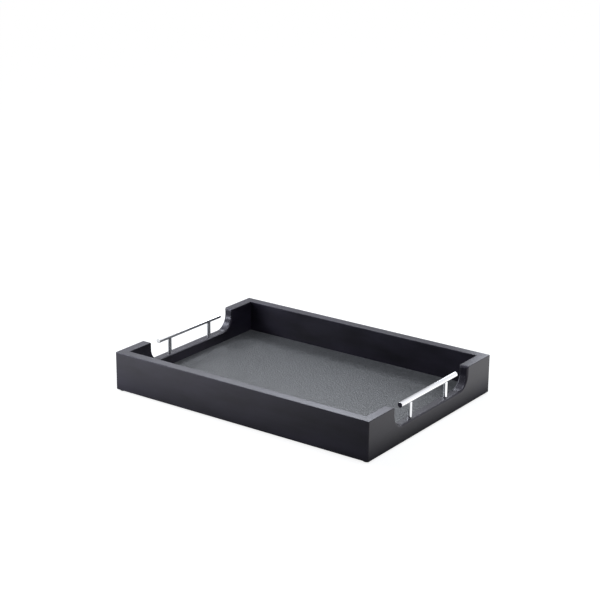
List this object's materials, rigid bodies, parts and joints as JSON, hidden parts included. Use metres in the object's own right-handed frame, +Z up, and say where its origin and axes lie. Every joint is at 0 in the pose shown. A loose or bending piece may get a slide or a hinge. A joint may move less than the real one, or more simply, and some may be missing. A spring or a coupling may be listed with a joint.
{
  "type": "butler tray",
  "caption": "Rectangular black lacquered serving tray with mitred rails, a lined floor, and a rounded hand scoop with a polished bar handle in each end.",
  "frame": {"origin": "middle of the tray's footprint, on the surface that its corner pads stand on", "axes": "+X along the tray's length towards the right handle, +Y across it towards the back rail, +Z up out of the tray"},
  "size_m": [0.455, 0.328, 0.0615],
  "materials": {
    "black_lacquer": "satin black lacquer over wood",
    "black_board": "black stained board, low sheen",
    "grained_liner": "fine pebble grain, satin charcoal",
    "polished_steel": "mirror polished",
    "plated_steel": "zinc plated",
    "beech": "pressed beech, unfinished",
    "pad_rubber": "matte black"
  },
  "bodies": {
    "root": {"front_rail": "black_lacquer", "back_rail": "black_lacquer", "left_end_rail": "black_lacquer", "right_end_rail": "black_lacquer", "base_panel": "black_board", "floor_liner": "grained_liner", "left_handle_bar": "polished_steel", "right_handle_bar": "polished_steel", "left_front_post": "polished_steel", "left_back_post": "polished_steel", "right_front_post": "polished_steel", "right_back_post": "polished_steel", "left_front_stud": "plated_steel", "left_back_stud": "plated_steel", "right_front_stud": "plated_steel", "right_back_stud": "plated_steel", "left_front_screw": "plated_steel", "left_back_screw": "plated_steel", "right_front_screw": "plated_steel", "right_back_screw": "plated_steel", "front_left_biscuit": "beech", "front_right_biscuit": "beech", "back_left_biscuit": "beech", "back_right_biscuit": "beech", "front_left_pad": "pad_rubber", "front_right_pad": "pad_rubber", "back_left_pad": "pad_rubber", "back_right_pad": "pad_rubber"}
  },
  "joints": []
}
